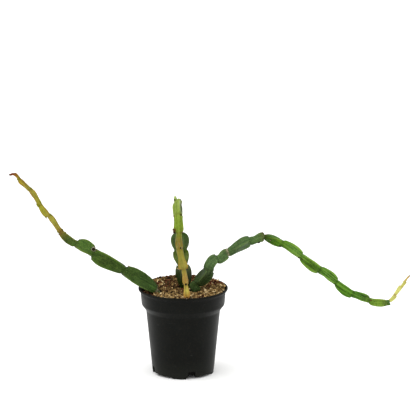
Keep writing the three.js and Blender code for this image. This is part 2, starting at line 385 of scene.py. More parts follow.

# %% [markdown]
# ## The skin of a stem
# One ring is laid at the first place and extruded from place to place. Each new ring is moved
# onto the section that belongs there. Rings lie closer together near the joints, where the
# wings swell fast and a crease runs round the stem. Numbers are kept at every point for the
# finish: how far along the piece it is, how near a wing's edge, how near a joint and how near
# an old scar. A fifth number keeps patches of painted shade and painted highlight: some flanks
# are painted darker, as if turned from the light, or paler, as if lit. The grain is where the
# point would be if the stem were a straight, even rod, so fine lines follow its bends and run
# together at the joints.

# %% Rings along a stem
STATIONS = 20
DOME_STEPS = [math.radians(a) for a in (80, 55, 28)]
KNOT_LENGTH = 1.3
SCAR_LENGTH = 1.1
CREASE = 0.13
CREASE_LENGTH = 0.8
WOBBLE = 0.24
WOBBLE_LENGTH = 6.0
GRAIN_RADIUS = 4


def next_ring(shape, ring):
    """Extrudes a closed ring of points and gives back the new ring in the same order."""
    edges = [shape.edges.get((ring[i - 1], ring[i])) for i in range(len(ring))]
    grown = bmesh.ops.extrude_edge_only(shape, edges=edges)["geom"]
    fresh = {part for part in grown if isinstance(part, bmesh.types.BMVert)}
    return [next(e.other_vert(v) for e in v.link_edges if e.other_vert(v) in fresh) for v in ring]


def places_along(first, last, domes):
    """Each ring's link, place along it, size and shift: a dome, the links, and a dome again."""
    rows = []
    for angle in DOME_STEPS:
        rows.append((first, 0, math.cos(angle), -math.sin(angle) * domes[0]))
    for link in range(first, last):
        for i in range(STATIONS):
            rows.append((link, (1 - math.cos(math.pi * i / STATIONS)) / 2, 1, 0))
    rows.append((last - 1, 1, 1, 0))
    for angle in reversed(DOME_STEPS):
        rows.append((last - 1, 1, math.cos(angle), math.sin(angle) * domes[1]))
    return rows


def frame_across(stem, link, along):
    """The middle of a ring, the way the stem runs, and the two ways across it."""
    run = direction(stem, link, along)
    across = (stem["datum"] - run * stem["datum"].dot(run)).normalized()
    return middle(stem, link, along), run, across, run.cross(across)


def close_end(shape, ring, centre):
    """Draws a ring together into one point."""
    tip = next_ring(shape, ring)
    bmesh.ops.pointmerge(shape, verts=tip, merge_co=centre)


# %% A stem's skin
def near_joint(distance, length):
    """1 at a joint, falling smoothly to 0 over a length."""
    return math.exp(-((distance / length) ** 2))


def painted_light_tone(patches, link, along, k):
    """How much painted highlight, or painted shade if negative, a spot gets: along the link and round the
    ring.
    """
    tone = 0
    for on_link, start, end, middle_k, width, amount in patches:
        if on_link == link and start < along < end:
            round_ring = (k - middle_k + 3) % WING_DIRECTIONS - 3
            fade = math.sin(math.pi * (along - start) / (end - start)) ** 0.5
            tone += amount * fade * near_joint(round_ring, width)
    return tone


def stem_skin(stem, first, last, domes, scars, patches):
    """The links from one joint to another as a closed skin with rounded ends."""
    shape = bmesh.new()
    layers = shape.verts.layers
    place_layer, edge_layer = layers.float.new("place"), layers.float.new("edge")
    knot_layer, scar_layer = layers.float.new("knot"), layers.float.new("scar")
    painted_light_layer, grain_layer = layers.float.new("patch"), layers.float_vector.new("grain")
    ring = bmesh.ops.create_circle(shape, segments=RING_POINTS, radius=1)["verts"]
    first_ring, travelled, before = ring, 0, None
    for row, (link, along, share, shift) in enumerate(places_along(first, last, domes)):
        if row:
            ring = next_ring(shape, ring)
        centre, run, across, up = frame_across(stem, link, along)
        centre = centre + run * shift
        travelled += (centre - before).length if before else 0
        before = centre
        reach = (stem["joints"][link + 1]["at"] - stem["joints"][link]["at"]).length
        to_joint = min(along, 1 - along) * reach
        scar = scars.get(link + round(along), 0) * near_joint(to_joint, SCAR_LENGTH)
        pinch = share * (1 - CREASE * near_joint(to_joint, CREASE_LENGTH))
        for i, (vertex, (flat, edge)) in enumerate(zip(ring, section(stem, link, along))):
            out = (across * flat.x + up * flat.y) * pinch
            bump = noise.noise((centre + out) / WOBBLE_LENGTH) * WOBBLE * share
            vertex.co = (centre + out + out.normalized() * bump) * MM
            vertex[place_layer] = (link - first + along) / (last - first)
            vertex[edge_layer] = edge
            vertex[knot_layer] = near_joint(to_joint, KNOT_LENGTH)
            vertex[scar_layer] = scar
            # painted shade and painted highlight for this point, from the stem's patches
            vertex[painted_light_layer] = painted_light_tone(patches, link, along, i / len(BETWEEN_CORNERS))
            spoke = flat.normalized() * GRAIN_RADIUS
            vertex[grain_layer] = Vector((spoke.x, spoke.y, travelled)) * MM
        if row == 0:
            start = centre
    close_end(shape, ring, centre * MM)
    close_end(shape, first_ring, start * MM)
    bmesh.ops.recalc_face_normals(shape, faces=shape.faces)
    return shape


# %% [markdown]
# ## The finish of the skin
# Firm plant skin is a green that shifts along the stem, a paler or browner line on the wing
# edges, corky brown at the joints, and mottling, pores and fine lines over it all. Every stem
# shares that recipe, so it is one node group, and each stem gives it colours of its own.
# Nodes take many words to add and link one by one, so a small helper does that first.

# %% A short way to add shader nodes
class Nodes:
    """A node tree, with a short way to add each kind of node that the finishes need."""

    def __init__(self, tree):
        self.tree = tree

    def put(self, socket, value):
        """Links a socket to another one, or gives it a value of its own."""
        if isinstance(value, bpy.types.NodeSocket):
            self.tree.links.new(value, socket)
        else:
            socket.default_value = value

    def fill(self, node, inputs):
        for key, value in inputs.items():
            self.put(node.inputs[key], value)
        return node

    def add(self, kind, inputs=None, **settings):
        """Adds a shader node, sets its properties and fills its inputs."""
        node = self.tree.nodes.new("ShaderNode" + kind)
        for key, value in settings.items():
            setattr(node, key, value)
        return self.fill(node, inputs or {})

    def place(self):
        """Where a point lies on its object."""
        return self.add("TexCoord").outputs["Object"]

    def kept(self, attribute, output="Fac"):
        """What is kept at the mesh's points under a name."""
        return self.add("Attribute", attribute_name=attribute).outputs[output]

    def up(self, vector):
        return self.add("SeparateXYZ", {"Vector": vector}).outputs["Z"]

    def mixed(self, share, first, second):
        """Mixes two colours."""
        node = self.add("Mix", data_type="RGBA")
        for name, value in (("Factor", share), ("A", first), ("B", second)):
            self.put(next(s for s in node.inputs if s.name == name and s.enabled), value)
        return next(s for s in node.outputs if s.enabled)

    def ranged(self, value, low, high, to_low=0.0, to_high=1.0):
        """Stretches a number from one range to another, held at its ends."""
        return self.add("MapRange", {
            "Value": value, "From Min": low, "From Max": high, "To Min": to_low, "To Max": to_high,
        }).outputs["Result"]

    def calculated(self, operation, *numbers):
        """Puts numbers together from left to right."""
        total = numbers[0]
        for number in numbers[1:]:
            total = self.add("Math", {0: total, 1: number}, operation=operation).outputs[0]
        return total

    def sum(self, *numbers):
        return self.calculated("ADD", *numbers)

    def product(self, *numbers):
        return self.calculated("MULTIPLY", *numbers)

    def noised(self, vector, scale, detail=3.0, roughness=0.5, turn=(0, 0, 0)):
        """Noise of one scale, or of one for each way, which draws it out into lines."""
        if isinstance(scale, tuple):
            mapping = {"Vector": vector, "Scale": scale, "Rotation": turn}
            vector, scale = self.add("Mapping", mapping).outputs["Vector"], 1
        return self.add("TexNoise", {
            "Vector": vector, "Scale": scale, "Detail": detail, "Roughness": roughness,
        }).outputs["Fac"]

    def ramp(self, value, stops, colour_of, interpolation="LINEAR"):
        """Colours that follow a number, as places from 0 to 1 and colours as the eye reads them."""
        node = self.add("ValToRGB", {"Fac": value})
        node.color_ramp.interpolation = interpolation
        elements = node.color_ramp.elements
        for _ in stops[2:]:
            elements.new(0.5)
        for element, (position, colour) in zip(elements, stops):
            element.position = position
            element.color = colour_of(*colour)
        return node.outputs["Color"]

    def relief(self, height, strength, distance):
        """The surface's way out where it rises and falls with a height."""
        bump = {"Height": height, "Strength": strength, "Distance": distance}
        return self.add("Bump", bump).outputs["Normal"]


def new_material(name):
    """A new material, its tree in the helper's form, and its shader."""
    material = bpy.data.materials.new(name)
    material.use_nodes = True
    return material, Nodes(material.node_tree), material.node_tree.nodes["Principled BSDF"]


# %% A node group
def new_group(name, inputs, outputs):
    """An empty node group with its sockets, given as name: (kind, default)."""
    group = bpy.data.node_groups.new(name, "ShaderNodeTree")
    for socket, (kind, default) in inputs.items():
        made = group.interface.new_socket(socket, in_out="INPUT", socket_type=kind)
        made.default_value = default
    for socket, kind in outputs.items():
        group.interface.new_socket(socket, in_out="OUTPUT", socket_type=kind)
    return group, group.nodes.new("NodeGroupInput").outputs, group.nodes.new("NodeGroupOutput")


# %% The plant skin group
COLOUR, NUMBER, VECTOR = "NodeSocketColor", "NodeSocketFloat", "NodeSocketVector"
skin_group, given, result = new_group(
    "plant_skin",
    {
        "Body": (COLOUR, (0.1, 0.2, 0.05, 1)),
        "Edge": (COLOUR, (0.3, 0.35, 0.1, 1)),
        "Knot": (COLOUR, (0.1, 0.06, 0.03, 1)),
        "Edge Amount": (NUMBER, 0.6),
        "Knot Amount": (NUMBER, 0.5),
        "Mottle": (NUMBER, 0.2),
        "Ribs": (NUMBER, 0.2),
    },
    {"Colour": COLOUR, "Roughness": NUMBER, "Normal": VECTOR},
)
HEALED_CORK = (0.36, 0.3, 0.19, 1)
DARKEST_SHADE = 0.15

nodes = Nodes(skin_group)
here = nodes.place()
grain = nodes.kept("grain", "Vector")
edge, knot, scar, patch = (nodes.kept(name) for name in ("edge", "knot", "scar", "patch"))

patches = nodes.noised(here, 170, 4)
blotches = nodes.noised(here, 620, 3, 0.6)
freckles = nodes.noised(here, 1500, 2, 0.5)
lines = nodes.noised(grain, (1500, 1500, 110), 2)
wrinkles = nodes.noised(grain, (160, 160, 900), 2)
ribs = nodes.noised(grain, (560, 560, 26), 2)
ribs = nodes.product(nodes.ranged(ribs, 0.42, 0.58, -1, 1), given["Ribs"])
pores = nodes.add("TexVoronoi", {"Vector": here, "Scale": 620}).outputs["Distance"]
pore_mask = nodes.product(nodes.ranged(pores, 0.18, 0.34, 1, 0),
                          nodes.ranged(patches, 0.42, 0.62, 0.2, 1))

mottling = nodes.sum(nodes.ranged(patches, 0.3, 0.7, -1, 1),
                     nodes.ranged(blotches, 0.3, 0.7, -0.9, 0.9),
                     nodes.ranged(freckles, 0.34, 0.66, -1, 1))
# The patch number darkens the colour as painted shade and lightens it as painted highlight
shade = nodes.sum(nodes.product(mottling, given["Mottle"]), ribs, nodes.sum(patch, 1))
shade = nodes.calculated("MAXIMUM", shade, DARKEST_SHADE)
tinted = nodes.add("VectorMath", {0: given["Body"], "Scale": shade},
                   operation="SCALE").outputs["Vector"]
flecks = nodes.sum(nodes.product(lines, 0.35), nodes.product(freckles, 0.65))
streaks = nodes.sum(nodes.ranged(flecks, 0.42, 0.66, 0, 0.28),
                    nodes.calculated("MAXIMUM", ribs, 0))
# Streaks and edge lines are kept off the painted shade
unshaded = nodes.ranged(patch, -0.5, -0.1)
edge_line = nodes.product(edge, nodes.ranged(blotches, 0.25, 0.6, 0.45, 1),
                          given["Edge Amount"], unshaded)
cork = nodes.product(knot, nodes.ranged(blotches, 0.35, 0.65, 0.15, 1), given["Knot Amount"])
healed = nodes.product(scar, nodes.ranged(blotches, 0.4, 0.6, 0.1, 1))
for share, colour in (
    (nodes.product(streaks, unshaded), given["Edge"]), (nodes.product(pore_mask, 0.38), given["Edge"]),
    (edge_line, given["Edge"]), (cork, given["Knot"]), (healed, HEALED_CORK),
):
    tinted = nodes.mixed(share, tinted, colour)

matt = nodes.sum(nodes.ranged(patches, 0.3, 0.7, 0.38, 0.5), nodes.product(cork, 0.25))
height = nodes.sum(nodes.product(lines, 0.35), nodes.product(wrinkles, 0.5), ribs,
                   nodes.product(blotches, 0.6), nodes.product(pore_mask, -0.2))
nodes.fill(result, {
    "Colour": tinted, "Roughness": matt, "Normal": nodes.relief(height, 0.45, 0.0005),
})
print("plant_skin group:", len(skin_group.nodes), "nodes")


# %% A skin's material
SKIN_DEPTH = 0.61


def skin_tone(*colour):
    """A skin's own colour: the studio is bright, so it is deeper than it looks in the picture."""
    return tuple(channel * SKIN_DEPTH for channel in linear(*colour)[:3]) + (1,)


def skin_material(name, tones, edge, knot, amounts, glow):
    """Skin whose body and edge colours run along the piece, with amounts for the skin group."""
    material, nodes, shader = new_material(name)
    place = nodes.kept("place")
    skin = nodes.add("Group", node_tree=skin_group)
    nodes.fill(skin, {
        "Body": nodes.ramp(place, tones, skin_tone, "EASE"),
        "Edge": nodes.ramp(place, edge, skin_tone, "EASE"),
        "Knot": skin_tone(*knot),
        **dict(zip(("Edge Amount", "Knot Amount", "Mottle", "Ribs"), amounts)),
    })
    nodes.fill(shader, {
        "Base Color": skin.outputs["Colour"], "Roughness": skin.outputs["Roughness"],
        "Normal": skin.outputs["Normal"], "Subsurface Weight": glow, "Subsurface Scale": 0.0012,
        "Subsurface Radius": (0.6, 1.0, 0.25), "Specular IOR Level": 0.06,
    })
    return material


# %% [markdown]
# ## The colours of each stem
# Old links are deep green, and no two quite alike. New growth is yellow-green and turns
# ochre, orange and red towards the tips. The colours run along each piece from its first
# joint, at 0, to its last, at 1.

# %% The stems' skins
# The amounts are for the edge line, the cork at the joints, the mottling and the ribs. A patch of
# painted highlight, or painted shade where its amount is negative, lies on a link between two
# places along it, round a corner's direction, so wide, so pale.
STEMS = {
    "left_stem": {
        "plan": LEFT, "links": (0, 5), "domes": (1, 0.6), "slot": "old_growth",
        "scars": {1: 0.9},
        "tones": [
            (0.1, (42, 66, 24)), (0.3, (45, 72, 25)), (0.5, (36, 68, 8)),
            (0.7, (62, 102, 40)), (0.89, (66, 94, 34)), (0.95, (102, 104, 38)), (1, (128, 98, 42)),
        ],
        "edge": [(0.2, (118, 146, 76)), (0.6, (150, 166, 74)), (1, (150, 150, 60))],
        "knot": (40, 46, 22), "amounts": (0.8, 0.4, 0.26, 0.03), "glow": 0.05,
        "patches": [(1, 0, 0.36, 5.85, 0.22, 1.3), (1, 0, 0.3, 4.9, 0.2, 1.5), (1, 0.2, 1, 5, 0.2, 0.4),
                    (2, 0.05, 1, 5.85, 0.2, 1.7), (2, 0.1, 1, 5.4, 0.2, -0.15),
                    (2, 0.1, 1, 4.2, 0.2, 0.9), (3, 0, 0.5, 5, 0.7, -0.2),
                    (4, 0.1, 0.7, 4.3, 0.9, -0.35), (4, 0.1, 1, 0.3, 0.6, 0.25)],
    },
    "left_shoot": {
        "plan": LEFT, "links": (5, 11), "domes": (0.6, 0.6), "slot": "new_growth",
        "tones": [
            (0, (150, 130, 52)), (0.05, (168, 160, 62)), (0.11, (176, 178, 72)), (0.3, (160, 170, 46)),
            (0.5, (174, 174, 70)), (0.66, (174, 166, 46)), (0.76, (164, 124, 42)),
            (0.86, (150, 72, 28)), (0.94, (88, 8, 14)), (1, (44, 22, 34)),
        ],
        "edge": [(0, (146, 80, 36)), (0.2, (170, 126, 52)), (0.6, (172, 106, 42)), (1, (150, 74, 34))],
        "knot": (104, 88, 30), "amounts": (0.8, 0.45, 0.18, 0.34), "glow": 0.12,
    },
    "centre_stem": {
        "plan": CENTRE, "links": (0, 4), "domes": (1, 0.6), "slot": "old_growth",
        "tones": [
            (0.1, (18, 32, 0)), (0.38, (24, 40, 0)), (0.5, (58, 80, 12)),
            (0.62, (96, 116, 52)), (0.75, (52, 76, 0)), (0.9, (40, 68, 0)),
        ],
        "edge": [(0.3, (58, 84, 14)), (0.6, (146, 160, 80)), (1, (96, 128, 34))],
        "knot": (30, 40, 12), "amounts": (0.6, 0.4, 0.22, 0.12), "glow": 0.05,
        "patches": [(3, 0.3, 0.9, 0.2, 0.5, 0.4), (3, 0.1, 0.9, 4, 0.5, -0.15)],
    },
    "centre_shoot": {
        "plan": CENTRE, "links": (4, 12), "domes": (0.6, 1.0), "slot": "new_growth",
        "tones": [
            (0, (86, 104, 36)), (0.2, (124, 138, 60)), (0.31, (124, 148, 50)),
            (0.45, (132, 160, 46)), (0.56, (122, 118, 38)), (0.66, (142, 144, 58)),
            (0.73, (160, 156, 68)), (0.84, (174, 148, 68)), (0.93, (202, 192, 88)),
            (0.98, (166, 136, 56)), (1, (128, 88, 42)),
        ],
        "edge": [(0.2, (186, 200, 116)), (0.46, (168, 186, 80)), (0.6, (168, 116, 46)),
                 (1, (186, 124, 54))],
        "knot": (112, 76, 34), "amounts": (0.85, 0.45, 0.15, 0.16), "glow": 0.14,
        "patches": [(6, 0, 1, 0.6, 0.7, -0.66), (6, 0.1, 0.9, 1.8, 0.22, 0.6),
                    (7, 0, 1, 1.9, 0.2, -0.25), (5, 0, 1, 0.6, 0.8, -0.5), (9, 0.1, 1, 1.4, 0.4, 0.2),
                    (10, 0.1, 0.9, 2, 0.3, 0.2), (11, 0.1, 1, 1.8, 0.4, 0.15)],
    },
    "right_stem": {
        "plan": ARCH, "links": (0, 7), "domes": (1, 0.5), "slot": "old_growth",
        "scars": {5: 0.85},
        "tones": [
            (0.07, (38, 60, 22)), (0.21, (38, 62, 18)), (0.36, (16, 42, 6)),
            (0.5, (66, 98, 54)), (0.64, (78, 112, 62)), (0.77, (48, 84, 36)),
            (0.85, (54, 92, 40)), (0.93, (78, 112, 54)), (1, (88, 98, 50)),
        ],
        "edge": [(0.2, (120, 144, 84)), (0.6, (160, 178, 112)), (1, (146, 166, 104))],
        "knot": (48, 54, 30), "amounts": (0.42, 0.45, 0.28, 0.08), "glow": 0.05,
    },
    "right_branch": {
        "plan": ARCH, "links": (7, 14), "domes": (0.5, 1.2), "slot": "old_growth",
        "tones": [
            (0, (50, 84, 16)), (0.07, (58, 112, 6)), (0.21, (60, 114, 42)),
            (0.36, (66, 124, 0)), (0.5, (26, 92, 0)), (0.64, (66, 120, 4)),
            (0.79, (10, 64, 0)), (0.92, (118, 160, 44)), (1, (66, 96, 40)),
        ],
        "edge": [(0, (112, 128, 40)), (0.14, (142, 174, 50)), (0.3, (176, 204, 92)), (0.5, (168, 204, 92)),
                 (0.72, (140, 196, 72)), (1, (184, 204, 92))],
        "knot": (34, 60, 10), "amounts": (0.9, 0.65, 0.24, 0.3), "glow": 0.06,
        "patches": [(7, 0, 0.7, 0.5, 0.6, -0.4), (8, 0, 1, 2.6, 0.3, 0.2), (8, 0, 0.6, 1.2, 0.5, -0.2),
                    (9, 0.3, 1, 2.7, 0.5, -0.2), (10, 0, 1, 2.7, 0.5, -0.3), (11, 0, 1, 2.6, 0.5, -0.3),
                    (12, 0.4, 1, 0.8, 0.6, -0.3)],
    },
    "right_shoot": {
        "plan": SPRIG, "links": (0, 4), "domes": (0.8, 0.5), "slot": "new_growth",
        "tones": [
            (0, (226, 226, 120)), (0.3, (226, 226, 124)), (0.7, (218, 212, 104)),
            (0.84, (220, 184, 100)), (0.92, (208, 144, 88)), (1, (146, 136, 124)),
        ],
        "edge": [(0, (228, 226, 150)), (1, (226, 214, 150))],
        "knot": (182, 158, 60), "amounts": (0.5, 0.5, 0.1, 0.12), "glow": 0.16,
    },
}
skins = []
for name, plan in STEMS.items():
    first, last = plan["links"]
    material = skin_material(f"{name}_skin", plan["tones"], plan["edge"], plan["knot"],
                             plan["amounts"], plan["glow"])
    shape = stem_skin(plan["plan"], first, last, plan["domes"], plan.get("scars", {}),
                      plan.get("patches", []))
    piece = object_from(shape, f"{name}_skin", material)
    skins.append(seat(piece, plan["slot"], name))

# %% [markdown]
# ## The areoles
# Where a wing ends at a joint sits an areole, the small cushion that a cactus buds and
# bristles from. A dab of paint would do from afar, but a cushion that stands out breaks the
# wing's outline as the real one does. Each is a flattened ball pressed into the skin, with
# a tuft of fine hairs. One on the left stem is big and dark, in a ring of white wool.

# %% The places of the areoles
AREOLE_PLACE = 0.955


def corner_place(stem, link, k, along=AREOLE_PLACE):
    """A spot on a wing's edge, or between two, the way out from the stem, and the way it runs."""
    centre, run, across, up = frame_across(stem, link, along)
    flat = section(stem, link, along)[round(k * len(BETWEEN_CORNERS)) % RING_POINTS][0]
    out = (across * flat.x + up * flat.y).normalized()
    return centre + out * flat.length, out, run


def areole_rows(stem, first, last, size=0.45, left_out=()):
    """Every wing's areole between two joints: stem, link, corner, size in mm and hairs."""
    chance = random.Random(17 * first + last)
    rows = []
    for link in range(first, last):
        for k in range(link % 2, WING_DIRECTIONS, 2):
            if (link, k) not in left_out:
                rows.append((stem, link, k, size * chance.uniform(0.8, 1.2), chance.randint(1, 3)))
    return rows


print(len(areole_rows(ARCH, 7, 14)), "areoles on the right branch")


# %% Cushions and hairs
HAIR_SIDES = 4
HAIR_TIP = 0.25
HAIR_REACH = 2.0
HAIR_THICKNESS = 0.07
HAIR_TINT = 0.55
CUSHION_LENGTH = 1.25
FLATNESS = 0.55


def paint(verts, layer, value):
    for vertex in verts:
        vertex[layer] = value


def cushion(shape, layer, place, out, run, size, tint, flatness=FLATNESS):
    """A small flattened ball, wider along the stem, pressed half into the skin."""
    verts = bmesh.ops.create_icosphere(shape, subdivisions=2, radius=1)["verts"]
    side = run.cross(out).normalized()
    turn = Matrix((side, run, out)).transposed().to_4x4()
    scale = Matrix.Diagonal((size, size * CUSHION_LENGTH, size * flatness, 1))
    bmesh.ops.transform(shape, matrix=Matrix.Translation(place) @ turn @ scale, verts=verts)
    paint(verts, layer, tint)


def hair(shape, layer, root, way, length, thickness, tint):
    """A fine cone that grows from the cushion."""
    verts = bmesh.ops.create_cone(
        shape, segments=HAIR_SIDES, radius1=thickness, radius2=thickness * HAIR_TIP,
        depth=length, cap_ends=True, matrix=Matrix.Translation((0, 0, length / 2)),
    )["verts"]
    turn = way.to_track_quat("Z", "Y").to_matrix().to_4x4()
    bmesh.ops.transform(shape, matrix=Matrix.Translation(root) @ turn, verts=verts)
    paint(verts, layer, tint)


def tuft(shape, layer, place, out, run, count, length, thickness, tint, chance, spread=0.7):
    """Hairs that fan out from one spot, leaning along the stem."""
    side = run.cross(out).normalized()
    for _ in range(count):
        lean = run * chance.uniform(-0.2, spread) + side * chance.uniform(-spread, spread)
        hair(shape, layer, place, (out + lean).normalized(), length * chance.uniform(0.6, 1.1),
             thickness, min(tint + chance.uniform(0, 0.2), 1))


def areoles(rows, name, slot, material, extras=()):
    """One piece of all the cushions and hairs of some rows, and of the bigger extras."""
    shape = bmesh.new()
    layer = shape.verts.layers.float.new("tint")
    chance = random.Random(name)
    darkest, palest = (0, 0.18) if slot == "old_growth" else (0.2, 0.5)
    for stem, link, k, size, hairs in rows:
        place, out, run = corner_place(stem, link, k)
        cushion(shape, layer, place, out, run, size, chance.uniform(darkest, palest))
        tuft(shape, layer, place, out, run, hairs, size * HAIR_REACH, HAIR_THICKNESS, HAIR_TINT,
             chance)
    for extra in extras:
        extra(shape, layer, chance)
    in_metres(shape)
    seat(object_from(shape, name, material), slot)


# %% [markdown]
# ## The finish of the areoles
# The cushions run from black-brown cork to cream wool. One number at each point, the tint,
# says where it stands between them, so one material serves cushions, bristles and wool.

# %% The areoles' material
def ramp_material(name, attribute, stops, roughness):
    """A material whose colour runs through stops by a number kept at the points, a bit uneven."""
    material, nodes, shader = new_material(name)
    speckle = nodes.noised(nodes.place(), 2200, 3, 0.6)
    value = nodes.sum(nodes.kept(attribute), nodes.ranged(speckle, 0.25, 0.75, -0.07, 0.07))
    nodes.fill(shader, {
        "Base Color": nodes.ramp(value, stops, linear), "Roughness": roughness,
        "Normal": nodes.relief(speckle, 0.5, 0.0003), "Specular IOR Level": 0.05,
    })
    return material


areole_material = ramp_material(
    "areole_cork_and_wool", "tint",
    [(0, (22, 21, 8)), (0.3, (92, 62, 26)), (0.55, (150, 112, 68)), (0.8, (214, 204, 182)),
     (1, (240, 236, 226))],
    0.8,
)


# %% The areoles of each stem
WOOL_HAIRS = 90
WOOL_HAIRS_PER_TURN = 60
WOOL_LIFT = 0.3


def woolly_areole(shape, layer, chance):
    """The big dark one on the left stem, in a ring of white wool."""
    place, out, run = corner_place(LEFT, 3, 0.25, 0.08)
    out = (out + FACING * 0.8).normalized()
    cushion(shape, layer, place + out * WOOL_LIFT, out, run, 1.6, 0.0)
    side = run.cross(out).normalized()
    for i in range(WOOL_HAIRS):
        angle = 2 * math.pi * i / WOOL_HAIRS_PER_TURN
        ring_way = side * math.cos(angle) + run * math.sin(angle)
        root = place + ring_way * chance.uniform(1.6, 2.3) + out * WOOL_LIFT
        hair(shape, layer, root, (ring_way * chance.uniform(0.2, 1.1) + out).normalized(),
             chance.uniform(0.7, 1.5), 0.1, chance.uniform(0.66, 0.95))


def apex_areoles(shape, layer, chance):
    """A round dark one at the right of the middle shoot's top, and one under the bud there."""
    cushion(shape, layer, Vector((-3.4, -11.6, 181)), Vector((0.4, -0.4, 1)).normalized(),
            RIGHT, 1.3, 0.0, 0.8)
    cushion(shape, layer, Vector((-8.4, -12.5, 181.2)), Vector((-0.5, -1, 0.2)).normalized(),
            RIGHT, 0.8, 0.05, 0.5)


def mark(stem, link, k, along, size, tint, hairs=0, lift=0.0, flatness=FLATNESS):
    """An areole that shows in the picture more than the others do."""
    def grow(shape, layer, chance):
        place, out, run = corner_place(stem, link, k, along)
        cushion(shape, layer, place + out * lift, out, run, size, tint, flatness)
        if hairs:
            tuft(shape, layer, place, out, run, hairs, size * 2.2, 0.08, 0.75, chance)
    return grow


def marks(stem, *rows):
    """Several marks on one stem, each with a mark's other numbers in their order."""
    return [mark(stem, *row) for row in rows]


def scaly_cluster(stem, link, k, along, size, count):
    """Dry brown scales crowded on one areole, with a few pale bristles between them."""
    def grow(shape, layer, chance):
        place, out, run = corner_place(stem, link, k, along)
        side = run.cross(out).normalized()
        for _ in range(count):
            shift = side * chance.uniform(-size, size) + run * chance.uniform(-size, size)
            cushion(shape, layer, place + shift, (out + shift * 0.3).normalized(), run,
                    size * chance.uniform(0.4, 0.7), chance.uniform(0, 0.2), 0.9)
        tuft(shape, layer, place, out, run, count, size * 1.8, 0.1, 0.6, chance, 1.0)
    return grow


def spine(stem, link, k, along, way, length, thickness, tint):
    """One stout bristle that stands off the stem."""
    def grow(shape, layer, chance):
        place, _, _ = corner_place(stem, link, k, along)
        hair(shape, layer, place, Vector(way).normalized(), length, thickness, tint)
    return grow


AREOLES = {
    "left_areoles": (areole_rows(LEFT, 0, 5), "old_growth", [
        woolly_areole,
        *marks(LEFT, (1, 1, 0.96, 0.9, 0.5, 4), (4, 0.75, 0.77, 0.7, 0.2, 2), (4, 4, 0.95, 0.8, 0.1)),
    ]),
    "left_shoot_areoles": (areole_rows(LEFT, 5, 10, 0.3), "new_growth", []),
    "centre_areoles": (areole_rows(CENTRE, 0, 4), "old_growth", []),
    "centre_shoot_areoles": (
        areole_rows(CENTRE, 4, 12, 0.42, {(5, 1), (5, 3), (6, 2), (7, 3), (8, 2), (10, 2)}),
        "new_growth", [
            apex_areoles, mark(CENTRE, 7, 1.5, 0.04, 0.85, 0.05),
            scaly_cluster(CENTRE, 7, 2.875, 0.87, 1.6, 14), mark(CENTRE, 7, 1, 0.97, 0.8, 0.15, 2),
            *(mark(CENTRE, 7, 3.4, 0.08 + 0.08 * i, 0.75, 0.24, 0, 0, 0.4) for i in range(9)),
            mark(CENTRE, 8, 1.5, 0.96, 0.85, 0.05, 2),
            spine(CENTRE, 9, 3.3, 0.92, (-0.86, -0.3, 0.4), 4.2, 0.45, 0.58),
            *marks(CENTRE, (9, 3.5, 0.9, 0.8, 0.3, 6), (9, 1, 0.97, 0.75, 0.2),
                   (10, 1.75, 0.97, 1.05, 0.02), (11, 2, 0.98, 0.8, 0.1, 2)),
        ],
    ),
    "right_areoles": (areole_rows(ARCH, 0, 7), "old_growth", marks(
        ARCH, (6, 2, 0.5, 1.3, 0.0, 0, 0, 0.35), (6, 0.25, 0.89, 0.8, 0.25),
    )),
    "right_branch_areoles": (areole_rows(ARCH, 7, 14, 0.34), "old_growth", marks(
        ARCH, (7, 0, 0.07, 0.75, 0.3), (7, 1.75, 0.38, 0.85, 0.08),
        (7, 1.75, 0.38, 0.38, 0.68, 0, 0.3), (7, 2.5, 0.96, 1.1, 0.03), (8, 2, 0.93, 0.7, 0.08),
        (9, 2, 0.09, 0.7, 0.1, 2), (13, 1.5, 0.1, 0.7, 0.3), (13, 3, 0.97, 0.8, 0.1),
    )),
    "right_shoot_areoles": (areole_rows(SPRIG, 0, 3, 0.3), "new_growth", marks(
        SPRIG, (0, 4.5, 0.98, 0.65, 0.56), (1, 3, 0.97, 0.5, 0.52),
    )),
}
for name, (rows, slot, extras) in AREOLES.items():
    areoles(rows, name, slot, areole_material, extras)

# %% [markdown]
# ## The green buds
# Some areoles have begun to swell. At the top of the middle shoot a pale, blunt bud stands up,
# at the end of the branch a dark one sits beside the yellow shoot, and the left shoot has a
# small one at each joint. They are flesh and not cork, so they have greens of their own.

# %% The green buds
bud_material = ramp_material(
    "bud_green", "tint",
    [(0, (62, 96, 44)), (0.4, (112, 108, 8)), (0.75, (124, 150, 56)), (1, (146, 164, 92))], 0.6,
)


def apex_bud(shape, layer, chance):
    """A blunt, pale green bud at the top of the middle shoot."""
    place = Vector((-7.2, -11, 179.6))
    cushion(shape, layer, place, Vector((-0.12, 0, 1)).normalized(), RIGHT, 1.5, 1.0, 3.9)


def branch_bud(shape, layer, chance):
    """A dark bud of two lobes where the yellow shoot leaves the branch."""
    for x, z, size in ((205.2, 76.6, 1.6), (206.4, 73.6, 1.4), (202.6, 72.6, 0.8)):
        cushion(shape, layer, Vector((x, -12.6, z)), FACING, RIGHT, size, 0.02, 0.8)


BUDS = {
    "apex_bud": [apex_bud],
    "branch_bud": [branch_bud],
    "left_shoot_buds": marks(
        LEFT, (5, 0.75, 0.0, 1.1, 0.3), (5, 4.25, 0.06, 1.35, 0.34), (6, 0.75, 0.0, 1.4, 0.32, 2),
        (6, 4.1, 0.04, 1.25, 0.42), (7, 4.2, 0.06, 2.0, 0.44), (8, 0.6, 0.02, 1.2, 0.4, 2),
        (9, 4.4, 0.05, 1.3, 0.44),
    ),
}
for name, grown in BUDS.items():
    areoles([], name, "new_growth", bud_material, grown)

# %% [markdown]
# ## The pot
# A nursery pot is one thin moulding: a tapered body, a sloped shoulder, a wider band to grip
# and a lip rolled outwards. It could be built up from cylinders, but spinning its whole cut
# profile keeps the wall true all round. The corners are rounded after, as a mould rounds them.

